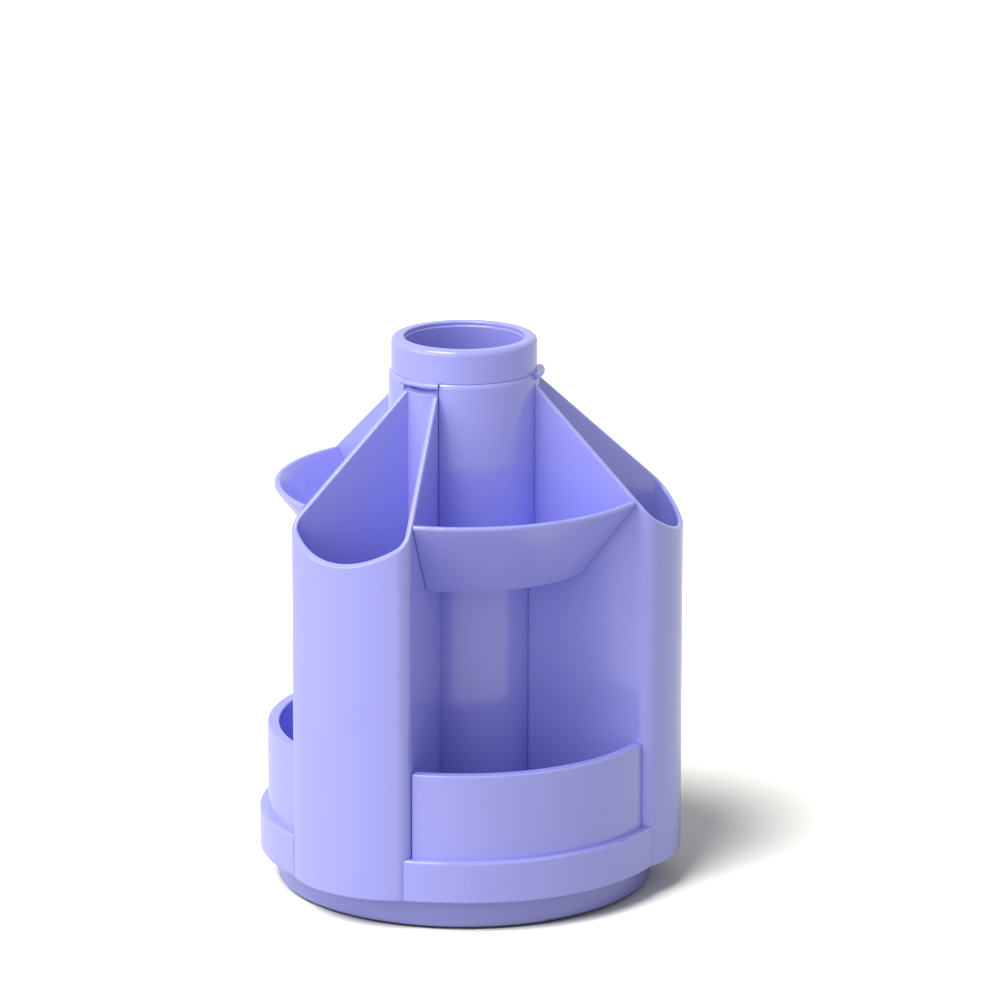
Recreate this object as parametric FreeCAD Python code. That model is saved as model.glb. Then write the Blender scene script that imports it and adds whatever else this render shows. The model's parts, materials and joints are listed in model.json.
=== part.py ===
"""Round rotating caddy: foot, turntable with bins, tall pockets, centre tube and a lift-off upper insert.

Millimetres, +Z up. The origin is on the turning axis, at the plane that the caddy stands on.
The front bay faces -Y. Bays and pockets alternate every 60 degrees around the axis.
"""
import FreeCAD
import Part
import math
import os

from FreeCAD import Vector

# Layout: bays and pockets in turn around the axis, from the front bay on
BAYS = ("front", "right", "left")
POCKETS = ("right", "back", "left")
front_bay_angle = 270.0

# Clearances
running_gap = 0.3
seat_clearance = 0.1
spindle_clearance = 0.08
slide_clearance = 0.2
tray_clearance = 0.15
flange_gap = 0.3
screw_clearance = 0.05

# Foot
foot_radius = 45.65
foot_height = 6.9
foot_draft = 0.6
foot_rim_width = 6.8
foot_plate = 2.0
foot_edge_radius = 0.8
foot_rib_count = 6
foot_rib_thickness = 1.5
foot_rib_lift = 1.0
foot_rib_overlap = 0.1
foot_boss_radius = 8.0

# Non-slip ring under the foot
grip_inner_radius = 40.4
grip_width = 2.6
grip_thickness = 1.6
grip_proud = 0.6

# Glide ring between foot and turntable
glide_inner_radius = 33.0
glide_width = 4.0
glide_groove_depth = 1.0

# Spindle, washer and screw
spindle_radius = 6.0
washer_radius = 9.5
washer_thickness = 1.0
washer_play = 0.2
screw_radius = 1.5
screw_length = 9.5
screw_head_radius = 2.9
screw_head_height = 2.1
screw_head_edge_radius = 0.7
screw_recess_width = 0.9
screw_recess_length = 3.6
screw_recess_depth = 1.2

# Turntable disc, band and bin walls
disc_inset = 0.55
disc_thickness = 1.8
hub_height = 5.2
hub_wall = 2.8
tube_spigot_height = 2.6
tube_spigot_wall = 1.4
band_radius = 49.4
band_height = 10.1
band_edge_radius = 0.6
band_foot_radius = 0.5
band_skin = 1.6
band_ledge = 2.0
bin_wall_thickness = 2.85
bin_wall_height = 30.8
bin_wall_edge_radius = 0.45
bin_wall_end_radius = 0.5

# Tall pockets
pocket_proud = 3.0
lobe_radius = 26.5
pocket_corner_radius = 3.5
pocket_side_angle = 23.4
pocket_side_offset = 2.23
pocket_wall = 1.4
pocket_floor = 1.5
pocket_lip_height = 80.3
pocket_mouth_angle = 45.0
pocket_rim_radius = 0.5
pocket_foot_radius = 0.5
peg_radius = 1.5
peg_places = (24.0, 37.0)

# Centre tube and its floor
tube_radius = 16.4
tube_bore_radius = 14.1
tube_spigot_radius = 15.0
tube_height = 123.0
tube_ledge_width = 1.0
tube_ledge_height = 8.0
tube_floor_thickness = 1.5
tube_edge_radius = 0.4

# Collar over the tube
collar_radius = 17.4
collar_mouth_radius = 14.35
collar_lip = 0.9
collar_height = 7.9
collar_edge_radius = 1.3
collar_mouth_edge_radius = 0.3
sleeve_wall = 1.0
flange_radius = 19.2
flange_thickness = 1.2
flange_edge_radius = 0.5

# Upper trays
tray_lift = 70.85
tray_height = 19.5
tray_rim_radius = 46.0
tray_foot_radius = 31.0
tray_wall = 1.5
tray_floor = 1.5
tray_back = 1.7
tray_back_edge_radius = 1.2
tray_rim_edge_radius = 0.6
tray_foot_edge_radius = 1.0

# Levels and radii that follow from the sizes above
AXIS = Vector(0, 0, 1)
ORIGIN = Vector(0, 0, 0)
step_angle = 360.0 / len(BAYS)
foot_top = grip_proud + foot_height
rotor_level = foot_top + running_gap
disc_top = rotor_level + disc_thickness
hub_top = rotor_level + hub_height
band_top = rotor_level + band_height
bin_wall_top = rotor_level + bin_wall_height
spindle_top = hub_top + washer_play
washer_top = spindle_top + washer_thickness
ledge_level = disc_top + tube_ledge_height
tube_top = disc_top + tube_height
collar_top = tube_top + collar_lip
flange_top = collar_top - collar_height
flange_level = flange_top - flange_thickness
tray_level = rotor_level + tray_lift
tray_floor_top = tray_level + tray_floor
tray_top = tray_level + tray_height
sleeve_bore_radius = tube_spigot_radius + slide_clearance
sleeve_radius = sleeve_bore_radius + sleeve_wall
bin_wall_radius = band_radius - band_ledge
bin_wall_inner_radius = bin_wall_radius - bin_wall_thickness
disc_radius = bin_wall_inner_radius - disc_inset
pocket_inner_radius = tube_radius + seat_clearance
pocket_reach = band_radius + pocket_proud
lobe_offset = pocket_reach - lobe_radius
pocket_top = flange_level - flange_gap
pocket_floor_top = disc_top + pocket_floor
bay_half_angle = step_angle / 2 - pocket_side_angle
far = 2.0 * pocket_reach


def turned(points):
    """Solid of revolution about Z from a closed outline of (radius, height) points."""
    outline = [Vector(radius, 0, height) for radius, height in points]
    face = Part.Face(Part.makePolygon(outline + outline[:1]))
    return face.revolve(ORIGIN, AXIS, 360)


def ring(inner, outer, bottom, top):
    """Plain ring about Z."""
    return turned([(inner, bottom), (outer, bottom), (outer, top), (inner, top)])


def rounded_circles(solid, radius, circles):
    """Round the circular edges about Z that lie at the given (radius, height) places."""
    picked = []
    for edge in solid.Edges:
        if edge.Curve.TypeId != "Part::GeomCircle":
            continue
        for circle_radius, height in circles:
            same_size = abs(edge.Curve.Radius - circle_radius) < 1e-6
            if same_size and abs(edge.Curve.Center.z - height) < 1e-6:
                picked.append(edge)
    return solid.makeFillet(radius, picked)


def is_upright(edge):
    """Whether an edge is a straight line along Z."""
    box = edge.BoundBox
    return max(box.XLength, box.YLength) < 1e-6


def placed(shape, angle):
    """The shape, modelled along +X, turned about Z to its angle."""
    return shape.rotated(ORIGIN, AXIS, angle)


def bay_angle(name):
    """Angle of a bay's middle around the axis, from +X."""
    return front_bay_angle + step_angle * BAYS.index(name)


def pocket_angle(name):
    """Angle of a pocket's middle around the axis, from +X."""
    return front_bay_angle + step_angle / 2 + step_angle * POCKETS.index(name)


def pocket_outline(grow):
    """Face of the pocket's plan on +X: two straight sides, a round lobe and a hollow back round the tube.

    grow is how far the outline lies outside the pocket's outer face.
    """
    slope = math.radians(pocket_side_angle)
    along = Vector(math.cos(slope), math.sin(slope), 0)
    outward = Vector(-math.sin(slope), math.cos(slope), 0)
    offset = pocket_side_offset - grow
    radius = lobe_radius + grow
    corner = pocket_corner_radius + grow
    back = pocket_inner_radius - grow
    centre = Vector(lobe_offset, 0, 0)

    # The corner's centre lies one corner radius inside both the side and the lobe
    start = outward * -(offset + corner) - centre
    reach = radius - corner
    step = -start.dot(along) + math.sqrt(start.dot(along) ** 2 - start.dot(start) + reach**2)
    corner_centre = centre + start + along * step
    side_end = corner_centre + outward * corner
    to_lobe = (corner_centre - centre).normalize()
    lobe_end = centre + to_lobe * radius
    corner_middle = corner_centre + (outward + to_lobe).normalize() * corner
    side_start = outward * -offset + along * math.sqrt(back**2 - offset**2)

    def mirrored(point):
        return Vector(point.x, -point.y, 0)

    edges = [
        Part.makeLine(side_start, side_end),
        Part.Arc(side_end, corner_middle, lobe_end).toShape(),
        Part.Arc(lobe_end, Vector(pocket_reach + grow, 0, 0), mirrored(lobe_end)).toShape(),
        Part.Arc(mirrored(lobe_end), mirrored(corner_middle), mirrored(side_end)).toShape(),
        Part.makeLine(mirrored(side_end), mirrored(side_start)),
        Part.Arc(mirrored(side_start), Vector(back, 0, 0), side_start).toShape(),
    ]
    return Part.Face(Part.Wire(edges))


def pocket_block(grow, bottom, top):
    """Upright block on the pocket's plan."""
    face = pocket_outline(grow)
    face.translate(Vector(0, 0, bottom))
    return face.extrude(Vector(0, 0, top - bottom))


def bay_block(clearance, bottom, top):
    """Upright wedge on +X that fills the bay between two pockets, less a clearance at each side."""
    half = math.radians(bay_half_angle)
    tip = (clearance - pocket_side_offset) / math.sin(half)
    spread = (far - tip) * math.tan(half)
    corners = [Vector(tip, 0, bottom), Vector(far, -spread, bottom), Vector(far, spread, bottom)]
    face = Part.Face(Part.makePolygon(corners + corners[:1]))
    return face.extrude(Vector(0, 0, top - bottom))


def above_mouth():
    """Block of everything above the pocket's slanted mouth, for a pocket on +X."""
    rise = math.tan(math.radians(pocket_mouth_angle))
    lip = rotor_level + pocket_lip_height
    high = lip + 2 * far * rise
    corners = [
        Vector(pocket_reach + far, -far, lip - far * rise),
        Vector(pocket_reach - far, -far, lip + far * rise),
        Vector(pocket_reach - far, -far, high),
        Vector(pocket_reach + far, -far, high),
    ]
    face = Part.Face(Part.makePolygon(corners + corners[:1]))
    return face.extrude(Vector(0, 2 * far, 0))


def on_mouth(point):
    """Whether a point lies in the plane of the slanted mouth of a pocket on +X."""
    rise = math.tan(math.radians(pocket_mouth_angle))
    mouth = rotor_level + pocket_lip_height + (pocket_reach - point.x) * rise
    return abs(point.z - mouth) < 1e-4


def make_foot():
    """Round foot with a hollow underside, ribs, a spindle, and grooves for the grip and glide rings."""
    rim_inner = foot_radius - foot_rim_width
    plate_bottom = foot_top - foot_plate
    boss_bottom = grip_proud + foot_rib_lift
    body = turned([
        (0, boss_bottom),
        (foot_boss_radius, boss_bottom),
        (foot_boss_radius, plate_bottom),
        (rim_inner, plate_bottom),
        (rim_inner, grip_proud),
        (foot_radius - foot_draft, grip_proud),
        (foot_radius, foot_top),
        (spindle_radius, foot_top),
        (spindle_radius, spindle_top),
        (0, spindle_top),
    ])
    body = rounded_circles(body, foot_edge_radius, [(foot_radius - foot_draft, grip_proud)])
    rib_length = rim_inner - foot_boss_radius + 2 * foot_rib_overlap
    for index in range(foot_rib_count):
        rib = Part.makeBox(rib_length, foot_rib_thickness, plate_bottom - boss_bottom)
        rib.translate(Vector(foot_boss_radius - foot_rib_overlap, -foot_rib_thickness / 2, boss_bottom))
        body = body.fuse(placed(rib, 360.0 * index / foot_rib_count))
    grip_groove = ring(
        grip_inner_radius - seat_clearance,
        grip_inner_radius + grip_width + seat_clearance,
        grip_proud,
        grip_thickness,
    )
    glide_groove = ring(
        glide_inner_radius - seat_clearance,
        glide_inner_radius + glide_width + seat_clearance,
        foot_top - glide_groove_depth,
        foot_top,
    )
    pilot = Part.makeCylinder(
        screw_radius + screw_clearance,
        screw_length + seat_clearance,
        Vector(0, 0, washer_top - screw_length - seat_clearance),
    )
    return body.cut(grip_groove).cut(glide_groove).cut(pilot).removeSplitter()


def make_grip_ring():
    """Rubber ring that stands proud of the foot's underside."""
    return ring(grip_inner_radius, grip_inner_radius + grip_width, 0, grip_thickness)


def make_glide_ring():
    """Ring in the foot's groove that the turntable runs on."""
    bottom = foot_top - glide_groove_depth
    return ring(glide_inner_radius, glide_inner_radius + glide_width, bottom, rotor_level)


def make_washer():
    """Washer on the spindle's end that keeps the hub from lifting."""
    return ring(screw_radius + seat_clearance, washer_radius, spindle_top, washer_top)


def make_screw():
    """Pan-head screw with a cross recess, driven down into the spindle."""
    shank = Part.makeCylinder(screw_radius, screw_length, Vector(0, 0, washer_top - screw_length))
    head = Part.makeCylinder(screw_head_radius, screw_head_height, Vector(0, 0, washer_top))
    head_top = washer_top + screw_head_height
    head = rounded_circles(head, screw_head_edge_radius, [(screw_head_radius, head_top)])
    screw = shank.fuse(head)
    for angle in (0, 90):
        slot = Part.makeBox(screw_recess_length, screw_recess_width, screw_recess_depth)
        corner = Vector(-screw_recess_length / 2, -screw_recess_width / 2, head_top - screw_recess_depth)
        slot.translate(corner)
        screw = screw.cut(placed(slot, angle))
    return screw.removeSplitter()


def make_bin_wall():
    """Low wall on the band, across the bay on +X, with its top and ends rounded."""
    wall = ring(bin_wall_inner_radius, bin_wall_radius, band_top, bin_wall_top)
    top_edges = [(bin_wall_radius, bin_wall_top), (bin_wall_inner_radius, bin_wall_top)]
    wall = rounded_circles(wall, bin_wall_edge_radius, top_edges)
    wall = wall.common(bay_block(seat_clearance, band_top, bin_wall_top))
    end_edges = [edge for edge in wall.Edges if is_upright(edge)]
    return wall.makeFillet(bin_wall_end_radius, end_edges)


def make_bin_tray():
    """Turntable disc with its hub, the spigot for the tube, and a band and low wall across each bay."""
    hub_bore = spindle_radius + spindle_clearance
    spigot_outer = tube_bore_radius - tube_ledge_width - seat_clearance
    spigot_inner = spigot_outer - tube_spigot_wall
    spigot_top = disc_top + tube_spigot_height
    tray = turned([
        (hub_bore, rotor_level),
        (band_radius, rotor_level),
        (band_radius, band_top),
        (bin_wall_inner_radius, band_top),
        (bin_wall_inner_radius, disc_top),
        (spigot_outer, disc_top),
        (spigot_outer, spigot_top),
        (spigot_inner, spigot_top),
        (spigot_inner, disc_top),
        (hub_bore + hub_wall, disc_top),
        (hub_bore + hub_wall, hub_top),
        (hub_bore, hub_top),
    ])
    tray = rounded_circles(tray, band_edge_radius, [(band_radius, band_top)])
    tray = rounded_circles(tray, band_foot_radius, [(band_radius, rotor_level)])
    core = ring(bin_wall_inner_radius + band_skin, band_radius - band_skin, rotor_level, band_top - band_skin)
    tray = tray.cut(core)
    disc = Part.makeCylinder(disc_radius, disc_thickness, Vector(0, 0, rotor_level))
    notch = pocket_block(seat_clearance, rotor_level, band_top).cut(disc)
    for name in POCKETS:
        angle = pocket_angle(name)
        tray = tray.cut(placed(notch, angle))
        for place in peg_places:
            foot = Vector(place, 0, rotor_level)
            hole = Part.makeCylinder(peg_radius + seat_clearance, disc_thickness, foot)
            tray = tray.cut(placed(hole, angle))
    wall = make_bin_wall()
    for name in BAYS:
        tray = tray.fuse(placed(wall, bay_angle(name)))
    return tray.removeSplitter()


def make_pocket():
    """Tall pocket on +X: stands on the disc, with a skirt over the disc's edge and pegs through it."""
    body = pocket_block(0, rotor_level, flange_top + far)
    outer_foot = []
    for edge in body.Edges:
        low = edge.BoundBox.ZMax < rotor_level + 1e-6
        if low and edge.BoundBox.XMax > disc_radius:
            outer_foot.append(edge)
    body = body.makeFillet(pocket_foot_radius, outer_foot)
    body = body.cut(above_mouth())
    body = body.cut(pocket_block(-pocket_wall, pocket_floor_top, flange_top + far))
    rim = [edge for edge in body.Edges if all(on_mouth(vertex.Point) for vertex in edge.Vertexes)]
    body = body.makeFillet(pocket_rim_radius, rim)
    body = body.cut(Part.makeCylinder(far, far, Vector(0, 0, pocket_top)))
    seat = Part.makeCylinder(disc_radius + seat_clearance, disc_thickness, Vector(0, 0, rotor_level))
    body = body.cut(seat)
    for place in peg_places:
        peg = Part.makeCylinder(peg_radius, disc_thickness, Vector(place, 0, rotor_level))
        body = body.fuse(peg)
    return body.removeSplitter()


def make_tube():
    """Centre tube with a ledge for its floor, a shoulder for the trays and a thinner top end."""
    lower_bore = tube_bore_radius - tube_ledge_width
    tube = turned([
        (lower_bore, disc_top),
        (tube_radius, disc_top),
        (tube_radius, tray_level),
        (tube_spigot_radius, tray_level),
        (tube_spigot_radius, tube_top),
        (tube_bore_radius, tube_top),
        (tube_bore_radius, ledge_level),
        (lower_bore, ledge_level),
    ])
    return rounded_circles(tube, tube_edge_radius, [(tube_bore_radius, tube_top)])


def make_tube_floor():
    """Disc on the tube's ledge, above the screw."""
    radius = tube_bore_radius - seat_clearance
    return Part.makeCylinder(radius, tube_floor_thickness, Vector(0, 0, ledge_level))


def make_collar():
    """Collar with a lip on the tube's end, a flange over each pocket, and a sleeve down the tube."""
    collar = turned([
        (sleeve_bore_radius, tray_floor_top),
        (sleeve_radius, tray_floor_top),
        (sleeve_radius, flange_top),
        (collar_radius, flange_top),
        (collar_radius, collar_top),
        (collar_mouth_radius, collar_top),
        (collar_mouth_radius, tube_top),
        (sleeve_bore_radius, tube_top),
    ])
    collar = rounded_circles(collar, collar_edge_radius, [(collar_radius, collar_top)])
    collar = rounded_circles(collar, collar_mouth_edge_radius, [(collar_mouth_radius, collar_top)])
    flange = ring(sleeve_bore_radius, flange_radius, flange_level, flange_top)
    flange_edges = [(flange_radius, flange_top), (flange_radius, flange_level)]
    flange = rounded_circles(flange, flange_edge_radius, flange_edges)
    for name in BAYS:
        flange = flange.cut(placed(bay_block(0, flange_level, flange_top), bay_angle(name)))
    return collar.fuse(flange).removeSplitter()


def make_upper_tray():
    """Tray in the bay on +X: floor on the tube's shoulder, sloped front wall, back wall up to the collar."""
    lean = math.atan2(tray_rim_radius - tray_foot_radius, tray_height)
    wall_across = tray_wall / math.cos(lean)
    inner_foot = tray_foot_radius + tray_floor * math.tan(lean) - wall_across
    back_inner = sleeve_radius + seat_clearance
    back_outer = back_inner + tray_back
    tray = turned([
        (sleeve_bore_radius, tray_level),
        (tray_foot_radius, tray_level),
        (tray_rim_radius, tray_top),
        (tray_rim_radius - wall_across, tray_top),
        (inner_foot, tray_floor_top),
        (back_outer, tray_floor_top),
        (back_outer, flange_top),
        (back_inner, flange_top),
        (back_inner, tray_floor_top),
        (sleeve_bore_radius, tray_floor_top),
    ])
    rim_edges = [(tray_rim_radius, tray_top), (tray_rim_radius - wall_across, tray_top)]
    tray = rounded_circles(tray, tray_rim_edge_radius, rim_edges)
    tray = rounded_circles(tray, tray_foot_edge_radius, [(tray_foot_radius, tray_level)])
    tray = rounded_circles(tray, tray_back_edge_radius, [(back_outer, flange_top)])
    return tray.common(bay_block(tray_clearance, tray_level, flange_top)).removeSplitter()


def main():
    """Build every piece and write each to its own file."""
    pieces = {
        "base_foot": make_foot(),
        "grip_ring": make_grip_ring(),
        "glide_ring": make_glide_ring(),
        "retaining_washer": make_washer(),
        "pivot_screw": make_screw(),
        "bin_tray": make_bin_tray(),
        "centre_tube": make_tube(),
        "tube_floor": make_tube_floor(),
        "collar": make_collar(),
    }
    pocket = make_pocket()
    for name in POCKETS:
        pieces[f"tall_pocket_{name}"] = placed(pocket, pocket_angle(name))
    tray = make_upper_tray()
    for name in BAYS:
        pieces[f"upper_tray_{name}"] = placed(tray, bay_angle(name))

    os.makedirs("parts", exist_ok=True)
    for name, shape in pieces.items():
        solids = len(shape.Solids)
        print(f"{name}: solids {solids}, valid {shape.isValid()}, volume {shape.Volume:.1f} mm3")
        shape.exportStep(f"parts/{name}.step")


main()
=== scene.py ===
"""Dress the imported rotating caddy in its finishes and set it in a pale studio.

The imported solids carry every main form, so they stay and take procedural finishes. The small marks
that moulding leaves on floors are added here. Metres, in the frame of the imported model.
"""
import json
import logging
import math
from dataclasses import dataclass, replace
from enum import Enum

import bmesh
import bpy
from mathutils import Matrix, Vector

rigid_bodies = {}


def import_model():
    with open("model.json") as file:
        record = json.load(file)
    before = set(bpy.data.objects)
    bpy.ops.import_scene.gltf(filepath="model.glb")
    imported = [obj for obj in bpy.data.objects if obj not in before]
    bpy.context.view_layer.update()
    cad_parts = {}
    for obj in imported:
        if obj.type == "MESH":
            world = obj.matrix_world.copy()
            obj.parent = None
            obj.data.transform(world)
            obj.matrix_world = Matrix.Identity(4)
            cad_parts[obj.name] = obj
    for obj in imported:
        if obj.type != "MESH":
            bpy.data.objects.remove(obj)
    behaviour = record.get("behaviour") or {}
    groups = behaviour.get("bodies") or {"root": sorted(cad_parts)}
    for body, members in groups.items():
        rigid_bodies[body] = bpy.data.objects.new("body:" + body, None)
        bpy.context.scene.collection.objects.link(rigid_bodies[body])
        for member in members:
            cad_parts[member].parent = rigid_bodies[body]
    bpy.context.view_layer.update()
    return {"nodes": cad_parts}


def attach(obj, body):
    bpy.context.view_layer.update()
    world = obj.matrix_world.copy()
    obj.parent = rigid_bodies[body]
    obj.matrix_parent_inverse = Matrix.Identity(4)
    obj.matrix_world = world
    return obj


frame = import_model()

LOG = logging.getLogger("caddy")
PICTURE_SIDE = 1000.0
MM = 0.001
FLOOR = "floor"

BAY_ANGLES = (270.0, 30.0, 150.0)

Colour = tuple[float, float, float]
Value = bpy.types.NodeSocket | float


class Body(Enum):
    """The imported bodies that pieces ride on."""

    BASE = "base"
    TURNTABLE = "turntable"
    INSERT = "upper_insert"


class Slot(Enum):
    """A material slot named in the record; the script gives it to no piece."""

    LILAC = "lilac_plastic"


class Effect(Enum):
    """The shader effects that the finishes share, each a node group."""

    CLOUDY_TINT = "cloudy_tint"
    HANDLED_GLOSS = "handled_gloss"
    MOULDED_SKIN = "moulded_skin"


class Lit(Enum):
    """What a lamp lights."""

    CADDY = "caddy"
    FLOOR = "floor"


class Shader:
    """A node tree under construction, with short calls to add and link nodes."""

    def __init__(self, tree: bpy.types.NodeTree) -> None:
        """Keep the tree that nodes are added to."""
        self.tree = tree

    def node(self, kind: str, **settings: object) -> bpy.types.Node:
        """Add a node.

        Args:
            kind: the node's type name.
            settings: properties to set on it.

        Returns:
            The new node.
        """
        node = self.tree.nodes.new(kind)
        for name, value in settings.items():
            setattr(node, name, value)
        return node

    def link(self, source: bpy.types.NodeSocket, target: bpy.types.NodeSocket) -> None:
        """Link one socket to another."""
        self.tree.links.new(source, target)

    def noise(self, scale: Value, detail: float) -> bpy.types.NodeSocket:
        """Add a noise pattern on Object coordinates.

        Args:
            scale: how many features there are to the metre, as a number or a socket.
            detail: how many finer layers the pattern has.

        Returns:
            The pattern's value.
        """
        place = self.node("ShaderNodeTexCoord")
        noise = self.node("ShaderNodeTexNoise")
        noise.inputs["Detail"].default_value = detail
        if isinstance(scale, bpy.types.NodeSocket):
            self.link(scale, noise.inputs["Scale"])
        else:
            noise.inputs["Scale"].default_value = scale
        self.link(place.outputs["Object"], noise.inputs["Vector"])
        return noise.outputs["Fac"]

    def maths(self, operation: str, first: Value, second: Value) -> bpy.types.NodeSocket:
        """Add a sum of two numbers or sockets.

        Args:
            operation: the name of the sum, such as ADD or MULTIPLY.
            first: a number or a socket.
            second: a number or a socket.

        Returns:
            The result's socket.
        """
        node = self.node("ShaderNodeMath", operation=operation)
        for socket, value in zip(node.inputs, (first, second)):
            if isinstance(value, bpy.types.NodeSocket):
                self.link(value, socket)
            else:
                socket.default_value = value
        return node.outputs[0]

    def place_group(self, effect: Effect, **values: object) -> bpy.types.Node:
        """Place a shared effect.

        Args:
            effect: which effect.
            values: its inputs, with underscores for spaces.

        Returns:
            The group's node.
        """
        node = self.node("ShaderNodeGroup", node_tree=bpy.data.node_groups[effect.value])
        for name, value in values.items():
            node.inputs[name.replace("_", " ").title()].default_value = value
        return node


class Effects:
    """Builds the shared node groups once."""

    NUMBER = "NodeSocketFloat"
    COLOUR = "NodeSocketColor"
    NOISE_MIDDLE = 0.5
    PATCH_DETAIL = 2.0
    SPECK_DETAIL = 1.0
    SPECK_SHARE = 0.5
    RUB_DETAIL = 4.0
    RIPPLE_DETAIL = 1.0
    GRAIN_DETAIL = 2.0

    def build(self) -> None:
        """Build every effect."""
        self.cloudy_tint()
        self.handled_gloss()
        self.moulded_skin()

    def start(
        self, effect: Effect, inputs: dict[str, str], outputs: dict[str, str]
    ) -> tuple[Shader, bpy.types.NodeOutputs, bpy.types.NodeInputs]:
        """Start a group with its sockets.

        Args:
            effect: which effect.
            inputs: input names and their socket types.
            outputs: output names and their socket types.

        Returns:
            The shader, the group's inputs and the group's outputs.
        """
        tree = bpy.data.node_groups.new(effect.value, "ShaderNodeTree")
        for name, kind in inputs.items():
            tree.interface.new_socket(name, in_out="INPUT", socket_type=kind)
        for name, kind in outputs.items():
            tree.interface.new_socket(name, in_out="OUTPUT", socket_type=kind)
        shader = Shader(tree)
        entry = shader.node("NodeGroupInput")
        leave = shader.node("NodeGroupOutput")
        return shader, entry.outputs, leave.inputs

    def cloudy_tint(self) -> None:
        """A colour that drifts a little lighter and darker over broad patches, with a fine speck."""
        shader, given, result = self.start(
            Effect.CLOUDY_TINT,
            {
                "Tint": self.COLOUR,
                "Drift": self.NUMBER,
                "Patch Scale": self.NUMBER,
                "Speck Scale": self.NUMBER,
            },
            {"Tint": self.COLOUR},
        )
        patches = shader.noise(given["Patch Scale"], self.PATCH_DETAIL)
        specks = shader.noise(given["Speck Scale"], self.SPECK_DETAIL)
        both = shader.maths("ADD", patches, shader.maths("MULTIPLY", specks, self.SPECK_SHARE))
        swing = shader.maths("SUBTRACT", both, self.NOISE_MIDDLE * (1.0 + self.SPECK_SHARE))
        gain = shader.maths("ADD", shader.maths("MULTIPLY", swing, given["Drift"]), 1.0)
        tone = shader.node("ShaderNodeHueSaturation")
        shader.link(gain, tone.inputs["Value"])
        shader.link(given["Tint"], tone.inputs["Color"])
        shader.link(tone.outputs["Color"], result["Tint"])

    def handled_gloss(self) -> None:
        """A roughness that varies where hands and cloths have rubbed the surface."""
        shader, given, result = self.start(
            Effect.HANDLED_GLOSS,
            {"Roughness": self.NUMBER, "Rub": self.NUMBER, "Rub Scale": self.NUMBER},
            {"Roughness": self.NUMBER},
        )
        marks = shader.noise(given["Rub Scale"], self.RUB_DETAIL)
        swing = shader.maths("SUBTRACT", marks, self.NOISE_MIDDLE)
        change = shader.maths("MULTIPLY", swing, given["Rub"])
        shader.link(shader.maths("ADD", given["Roughness"], change), result["Roughness"])

    def moulded_skin(self) -> None:
        """Height of a moulded surface: a slow ripple under a fine grain."""
        shader, given, result = self.start(
            Effect.MOULDED_SKIN,
            {"Ripple Scale": self.NUMBER, "Grain Scale": self.NUMBER, "Grain Share": self.NUMBER},
            {"Height": self.NUMBER},
        )
        ripple = shader.noise(given["Ripple Scale"], self.RIPPLE_DETAIL)
        grain = shader.noise(given["Grain Scale"], self.GRAIN_DETAIL)
        fine = shader.maths("MULTIPLY", grain, given["Grain Share"])
        shader.link(shader.maths("ADD", ripple, fine), result["Height"])


@dataclass(frozen=True)
class Finish:
    """A procedural finish: tint, gloss and skin, with what differs between materials as fields."""

    name: str
    tint: Colour
    drift: float
    patch_scale: float
    speck_scale: float
    roughness: float
    rub: float
    rub_scale: float
    ripple_scale: float
    grain_scale: float
    grain_share: float
    skin_depth: float
    metallic: float = 0.0
    index: float = 1.5

    def build(self) -> bpy.types.Material:
        """Build the material.

        Returns:
            The new material, with the finish's name.
        """
        material = bpy.data.materials.new(self.name)
        material.use_nodes = True
        shader = Shader(material.node_tree)
        surface = material.node_tree.nodes["Principled BSDF"]
        surface.inputs["Metallic"].default_value = self.metallic
        surface.inputs["IOR"].default_value = self.index
        tint = shader.place_group(
            Effect.CLOUDY_TINT,
            tint=(*self.tint, 1.0),
            drift=self.drift,
            patch_scale=self.patch_scale,
            speck_scale=self.speck_scale,
        )
        gloss = shader.place_group(
            Effect.HANDLED_GLOSS, roughness=self.roughness, rub=self.rub, rub_scale=self.rub_scale
        )
        skin = shader.place_group(
            Effect.MOULDED_SKIN,
            ripple_scale=self.ripple_scale,
            grain_scale=self.grain_scale,
            grain_share=self.grain_share,
        )
        bump = shader.node("ShaderNodeBump")
        bump.inputs["Strength"].default_value = 1.0
        bump.inputs["Distance"].default_value = self.skin_depth
        shader.link(tint.outputs["Tint"], surface.inputs["Base Color"])
        shader.link(gloss.outputs["Roughness"], surface.inputs["Roughness"])
        shader.link(skin.outputs["Height"], bump.inputs["Height"])
        shader.link(bump.outputs["Normal"], surface.inputs["Normal"])
        return material


LILAC = Finish(
    name="finish_lilac_plastic",
    tint=(0.368, 0.374, 0.88),
    drift=0.06,
    patch_scale=38.0,
    speck_scale=900.0,
    roughness=0.14,
    rub=0.05,
    rub_scale=60.0,
    ripple_scale=55.0,
    grain_scale=1500.0,
    grain_share=0.05,
    skin_depth=0.00012,
    index=1.65,
)
# Painted shade: the foot's tint is the same lilac darkened by about a fifth, standing in for the shade
# under the bin tray's overhang.
SHADED_FOOT_LILAC = replace(LILAC, name="finish_foot_plastic_painted_shade", tint=(0.285, 0.285, 0.7))
RUBBER = Finish(
    name="finish_grip_rubber",
    tint=(0.08, 0.08, 0.1),
    drift=0.3,
    patch_scale=90.0,
    speck_scale=1800.0,
    roughness=0.75,
    rub=0.2,
    rub_scale=160.0,
    ripple_scale=120.0,
    grain_scale=2600.0,
    grain_share=0.6,
    skin_depth=0.00012,
)
GLIDE = Finish(
    name="finish_glide_plastic",
    tint=(0.72, 0.72, 0.7),
    drift=0.08,
    patch_scale=70.0,
    speck_scale=1400.0,
    roughness=0.45,
    rub=0.25,
    rub_scale=220.0,
    ripple_scale=90.0,
    grain_scale=1800.0,
    grain_share=0.2,
    skin_depth=0.00006,
)
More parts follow.
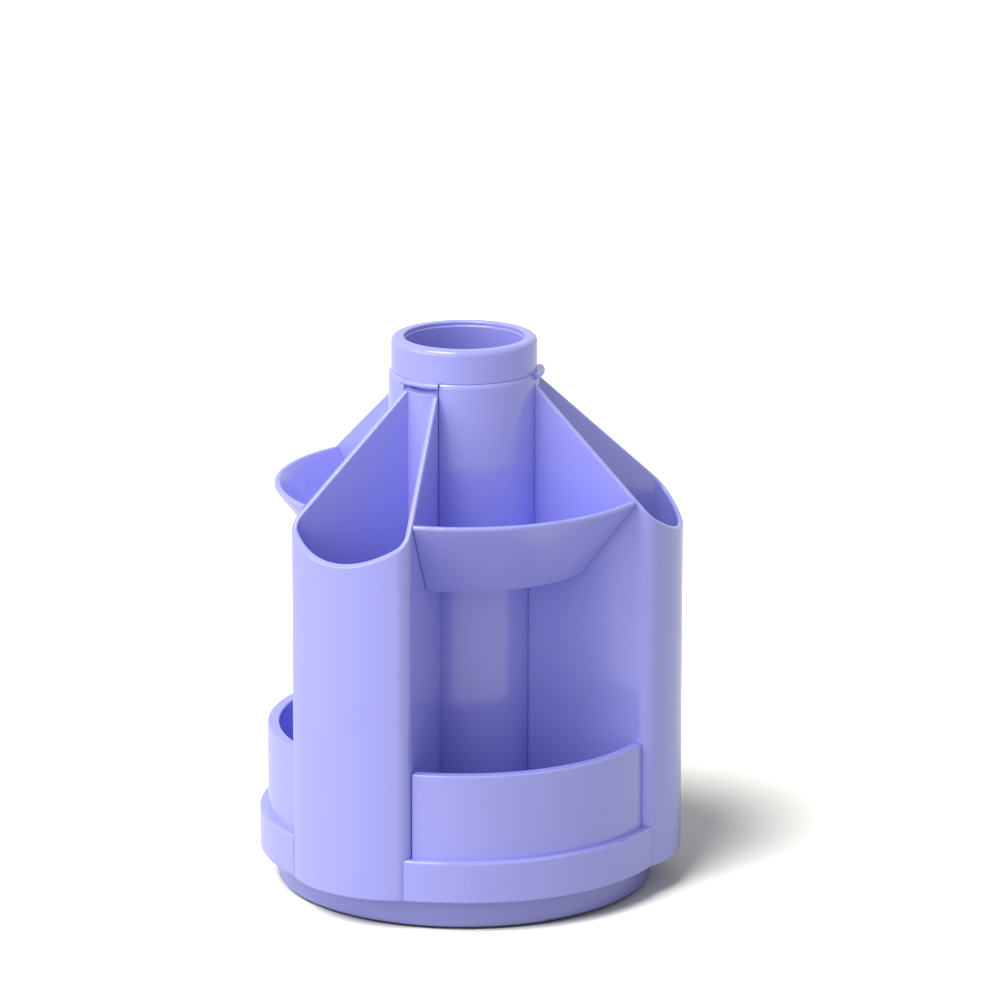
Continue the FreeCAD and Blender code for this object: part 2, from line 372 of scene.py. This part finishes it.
STEEL = Finish(
    name="finish_steel",
    tint=(0.56, 0.56, 0.58),
    drift=0.12,
    patch_scale=140.0,
    speck_scale=2400.0,
    roughness=0.32,
    rub=0.2,
    rub_scale=420.0,
    ripple_scale=160.0,
    grain_scale=3000.0,
    grain_share=0.5,
    skin_depth=0.00002,
    metallic=1.0,
)


class Finishes:
    """The materials built from finishes."""

    def __init__(self, finishes: tuple[Finish, ...]) -> None:
        """Build each finish's material."""
        self.materials = {finish: finish.build() for finish in finishes}

    def dress(self, piece: bpy.types.Object, finish: Finish) -> None:
        """Put a finish on a piece in place of what it had."""
        piece.data.materials.clear()
        piece.data.materials.append(self.materials[finish])


@dataclass
class PinMarks:
    """Round marks that the mould's ejector pins leave on a floor."""

    radius: float = 2.1 * MM
    proud: float = 0.12 * MM
    edge: float = 0.07 * MM
    sink: float = 0.1 * MM
    segments: int = 40
    edge_segments: int = 2
    edge_profile: float = 0.5

    def add(self, mesh: bmesh.types.BMesh, place: Vector, up: float) -> None:
        """Add one mark to a mesh.

        Args:
            mesh: the mesh that the mark joins.
            place: the mark's middle, on the floor that it stands on.
            up: 1 where the floor faces up and -1 where it faces down.
        """
        height = self.proud + self.sink
        middle = place + Vector((0.0, 0.0, up * (self.proud - self.sink) / 2))
        made = bmesh.ops.create_cone(
            mesh,
            cap_ends=True,
            segments=self.segments,
            radius1=self.radius,
            radius2=self.radius,
            depth=height,
            matrix=Matrix.Translation(middle),
        )
        outer = place.z + up * self.proud
        rim = {
            edge
            for vert in made["verts"]
            for edge in vert.link_edges
            if all(abs(end.co.z - outer) < self.edge for end in edge.verts)
        }
        bmesh.ops.bevel(
            mesh,
            geom=list(rim),
            offset=self.edge,
            offset_type="OFFSET",
            segments=self.edge_segments,
            profile=self.edge_profile,
            affect="EDGES",
            material=-1,
        )


def finished_piece(name: str, mesh: bmesh.types.BMesh, body: Body) -> bpy.types.Object:
    """Turn a mesh into a piece that rides on a body.

    Args:
        name: the piece's name.
        mesh: its shape, in place.
        body: the body that it rides on.

    Returns:
        The new object.
    """
    bmesh.ops.recalc_face_normals(mesh, faces=mesh.faces)
    data = bpy.data.meshes.new(name)
    mesh.to_mesh(data)
    mesh.free()
    piece = bpy.data.objects.new(name, data)
    bpy.context.scene.collection.objects.link(piece)
    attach(piece, body.value)
    return piece


def around(radius: float, angle: float, height: float) -> Vector:
    """A place on a circle about the axis, from its angle in degrees."""
    turn = math.radians(angle)
    return Vector((radius * math.cos(turn), radius * math.sin(turn), height))


def marks_in_bays(marks: PinMarks, radius: float, spread: float, level: float) -> bmesh.types.BMesh:
    """Make the pin marks on the floors of all bays, two to a floor.

    Args:
        marks: the shape of a mark.
        radius: how far the marks are from the axis.
        spread: the angle in degrees from a bay's middle to each of its marks.
        level: the height of the floors.

    Returns:
        The marks, in one mesh.
    """
    mesh = bmesh.new()
    for angle in BAY_ANGLES:
        for side in (-1.0, 1.0):
            marks.add(mesh, around(radius, angle + side * spread, level), 1.0)
    return mesh


@dataclass
class Foot:
    """The standing part: foot, grip ring, glide ring, washer and screw."""

    mark_radius: float = 24.0 * MM
    mark_level: float = 5.5 * MM
    mark_count: int = 6
    first_mark_angle: float = 30.0

    def build(self, marks: PinMarks) -> bpy.types.Object:
        """Build the pin marks under the foot's plate, one between each pair of ribs.

        Args:
            marks: the shape of a mark.

        Returns:
            The marks, as one piece.
        """
        mesh = bmesh.new()
        for index in range(self.mark_count):
            angle = self.first_mark_angle + 360.0 * index / self.mark_count
            marks.add(mesh, around(self.mark_radius, angle, self.mark_level), -1.0)
        return finished_piece("foot_pin_marks", mesh, Body.BASE)

    def dress(self, finishes: Finishes, marks: bpy.types.Object) -> None:
        """Put the finishes on the foot's pieces and its marks.

        Args:
            finishes: the materials to take from.
            marks: the piece that build made.
        """
        # The foot and the pin marks under it take the darker lilac, which is painted shade of the overhang,
        # not a different plastic.
        finishes.dress(frame["nodes"]["base_foot"], SHADED_FOOT_LILAC)
        finishes.dress(frame["nodes"]["grip_ring"], RUBBER)
        finishes.dress(frame["nodes"]["glide_ring"], GLIDE)
        finishes.dress(frame["nodes"]["retaining_washer"], STEEL)
        finishes.dress(frame["nodes"]["pivot_screw"], STEEL)
        finishes.dress(marks, SHADED_FOOT_LILAC)


@dataclass
class Turntable:
    """The turning part: bin tray, centre tube with its floor, and the tall pockets."""

    pockets: tuple[str, ...] = ("right", "back", "left")
    mark_radius: float = 33.0 * MM
    mark_spread: float = 13.0
    mark_level: float = 9.6 * MM

    def build(self, marks: PinMarks) -> bpy.types.Object:
        """Build the pin marks on the lower bins' floors, two to a bin, as one piece."""
        mesh = marks_in_bays(marks, self.mark_radius, self.mark_spread, self.mark_level)
        return finished_piece("bin_pin_marks", mesh, Body.TURNTABLE)

    def dress(self, finishes: Finishes, marks: bpy.types.Object) -> None:
        """Put the plastic on the turntable's pieces and its marks.

        Args:
            finishes: the materials to take from.
            marks: the piece that build made.
        """
        for name in ("bin_tray", "centre_tube", "tube_floor"):
            finishes.dress(frame["nodes"][name], LILAC)
        for name in self.pockets:
            finishes.dress(frame["nodes"]["tall_pocket_" + name], LILAC)
        finishes.dress(marks, LILAC)


@dataclass
class UpperInsert:
    """The part that lifts off: collar and upper trays."""

    trays: tuple[str, ...] = ("front", "right", "left")
    mark_radius: float = 24.5 * MM
    mark_spread: float = 15.0
    mark_level: float = 80.15 * MM

    def build(self, marks: PinMarks) -> bpy.types.Object:
        """Build the pin marks on the trays' floors, two to a tray, as one piece."""
        mesh = marks_in_bays(marks, self.mark_radius, self.mark_spread, self.mark_level)
        return finished_piece("tray_pin_marks", mesh, Body.INSERT)

    def dress(self, finishes: Finishes, marks: bpy.types.Object) -> None:
        """Put the plastic on the insert's pieces and its marks.

        Args:
            finishes: the materials to take from.
            marks: the piece that build made.
        """
        finishes.dress(frame["nodes"]["collar"], LILAC)
        for name in self.trays:
            finishes.dress(frame["nodes"]["upper_tray_" + name], LILAC)
        finishes.dress(marks, LILAC)


@dataclass(frozen=True)
class Lamp:
    """A studio lamp, placed around the axis and aimed at the caddy."""

    name: str
    azimuth: float
    elevation: float
    distance: float
    lit: Lit = Lit.CADDY
    aim_height: float = 0.06

    def light(self) -> bpy.types.Light:
        """Make the lamp's light."""
        raise NotImplementedError

    def build(self) -> bpy.types.Object:
        """Build the lamp.

        Returns:
            The lamp's object, linked to what it lights.
        """
        lamp = bpy.data.objects.new(self.name, self.light())
        level = self.distance * math.cos(math.radians(self.elevation))
        height = self.distance * math.sin(math.radians(self.elevation))
        lamp.location = around(level, self.azimuth, height + self.aim_height)
        aim = Vector((0.0, 0.0, self.aim_height)) - lamp.location
        lamp.rotation_euler = aim.to_track_quat("-Z", "Y").to_euler()
        bpy.context.scene.collection.objects.link(lamp)
        lit = bpy.data.collections.new("lit_by_" + self.name)
        for piece in bpy.context.scene.objects:
            if piece.type == "MESH" and (piece.name == FLOOR) == (self.lit is Lit.FLOOR):
                lit.objects.link(piece)
        lamp.light_linking.receiver_collection = lit
        return lamp


@dataclass(frozen=True)
class SoftBox(Lamp):
    """A square softbox."""

    side: float = 0.5
    power: float = 10.0

    def light(self) -> bpy.types.Light:
        """Make the softbox's light.

        Returns:
            A square area light.
        """
        light = bpy.data.lights.new(self.name, "AREA")
        light.shape = "SQUARE"
        light.size = self.side
        light.energy = self.power
        return light


@dataclass(frozen=True)
class Skylight(Lamp):
    """A broad far lamp that lights evenly."""

    spread: float = 30.0
    strength: float = 1.0

    def light(self) -> bpy.types.Light:
        """Make the skylight's light.

        Returns:
            A sun light with a broad disc.
        """
        light = bpy.data.lights.new(self.name, "SUN")
        light.angle = math.radians(self.spread)
        light.energy = self.strength
        return light


@dataclass
class Studio:
    """The pale floor, the soft light and the camera at the photograph's angle."""

    floor_side: float = 8.0
    floor_drop: float = 0.1 * MM
    floor_tint: Colour = (0.74, 0.74, 0.7)
    floor_mirrored: Colour = (0.433, 0.433, 0.433)
    floor_bounce: Colour = (0.3, 0.3, 0.3)
    ambient: float = 0.5
    mirrored: float = 0.85
    camera_azimuth: float = -114.0
    camera_reach: float = 1.45
    camera_height: float = 0.474
    camera_aim: float = 0.093
    camera_focal_pixels: float = 6276.0
    camera_axis_column: float = 464.3
    sensor: float = 36.0
    lamps: tuple[Lamp, ...] = (
        SoftBox("key", azimuth=-150.0, elevation=12.0, distance=1.1, side=0.8, power=2.8),
        SoftBox("side", azimuth=-184.0, elevation=16.0, distance=1.1, side=0.8, power=3.5),
        Skylight("overhead", azimuth=-174.0, elevation=62.0, distance=2.0, spread=32.0, strength=2.0),
        Skylight(
            "ground", azimuth=-157.0, elevation=55.0, distance=2.0, lit=Lit.FLOOR, spread=36.0, strength=6.5
        ),
    )

    def build(self) -> None:
        """Build the floor, the surroundings, the lamps and the camera."""
        self.build_floor()
        self.build_surroundings()
        for lamp in self.lamps:
            lamp.build()
        self.build_camera()
        bpy.context.scene.view_settings.view_transform = "Standard"

    def mirrored_rays(self, shader: Shader, path: bpy.types.Node) -> bpy.types.NodeSocket:
        """A mask that is one for what a reflection or glass sees."""
        return shader.maths("MAXIMUM", path.outputs["Is Glossy Ray"], path.outputs["Is Transmission Ray"])

    def build_floor(self) -> None:
        """Build the floor: matt, white where the camera sees it lit, and duller in what it bounces."""
        mesh = bmesh.new()
        bmesh.ops.create_grid(
            mesh, x_segments=1, y_segments=1, size=self.floor_side / 2,
            matrix=Matrix.Translation((0.0, 0.0, -self.floor_drop)),
        )
        data = bpy.data.meshes.new(FLOOR)
        mesh.to_mesh(data)
        mesh.free()
        floor = bpy.data.objects.new(FLOOR, data)
        bpy.context.scene.collection.objects.link(floor)
        material = bpy.data.materials.new("pale_floor")
        material.use_nodes = True
        tree = material.node_tree
        tree.nodes.clear()
        shader = Shader(tree)
        path = shader.node("ShaderNodeLightPath")
        reflected = shader.node("ShaderNodeMix", data_type="RGBA")
        reflected.inputs["A"].default_value = (*self.floor_bounce, 1.0)
        reflected.inputs["B"].default_value = (*self.floor_mirrored, 1.0)
        shader.link(self.mirrored_rays(shader, path), reflected.inputs["Factor"])
        tint = shader.node("ShaderNodeMix", data_type="RGBA")
        tint.inputs["B"].default_value = (*self.floor_tint, 1.0)
        shader.link(reflected.outputs["Result"], tint.inputs["A"])
        shader.link(path.outputs["Is Camera Ray"], tint.inputs["Factor"])
        matt = shader.node("ShaderNodeBsdfDiffuse")
        shader.link(tint.outputs["Result"], matt.inputs["Color"])
        leave = shader.node("ShaderNodeOutputMaterial")
        shader.link(matt.outputs["BSDF"], leave.inputs["Surface"])
        data.materials.append(material)

    def build_surroundings(self) -> None:
        """Build the world: soft light all round, white where it is seen."""
        world = bpy.data.worlds.new("studio")
        bpy.context.scene.world = world
        world.use_nodes = True
        shader = Shader(world.node_tree)
        backdrop = world.node_tree.nodes["Background"]
        backdrop.inputs["Color"].default_value = (1.0, 1.0, 1.0, 1.0)
        path = shader.node("ShaderNodeLightPath")
        mirrored = shader.maths("MULTIPLY", self.mirrored_rays(shader, path), self.mirrored - self.ambient)
        direct = shader.maths("MULTIPLY", path.outputs["Is Camera Ray"], 1.0 - self.ambient)
        extra = shader.maths("ADD", mirrored, direct)
        shader.link(shader.maths("ADD", extra, self.ambient), backdrop.inputs["Strength"])

    def build_camera(self) -> None:
        """Build the camera at the photograph's place."""
        data = bpy.data.cameras.new("camera")
        data.sensor_width = self.sensor
        data.lens = self.camera_focal_pixels * self.sensor / PICTURE_SIDE
        data.shift_x = (PICTURE_SIDE / 2 - self.camera_axis_column) / PICTURE_SIDE
        data.clip_end = 2 * self.floor_side
        camera = bpy.data.objects.new("camera", data)
        camera.location = around(self.camera_reach, self.camera_azimuth, self.camera_height)
        aim = Vector((0.0, 0.0, self.camera_aim)) - camera.location
        camera.rotation_euler = aim.to_track_quat("-Z", "Y").to_euler()
        bpy.context.scene.collection.objects.link(camera)
        bpy.context.scene.camera = camera


def main() -> None:
    """Build the finishes, dress the three bodies, and set up the studio."""
    logging.basicConfig(level=logging.INFO, format="%(name)s: %(message)s")
    Effects().build()
    finishes = Finishes((LILAC, SHADED_FOOT_LILAC, RUBBER, GLIDE, STEEL))
    marks = PinMarks()
    for part in (Foot(), Turntable(), UpperInsert()):
        piece = part.build(marks)
        part.dress(finishes, piece)
        LOG.info("%s dressed, with %s", type(part).__name__, piece.name)
    Studio().build()
    LOG.info("studio built")


if __name__ == "__main__":
    main()
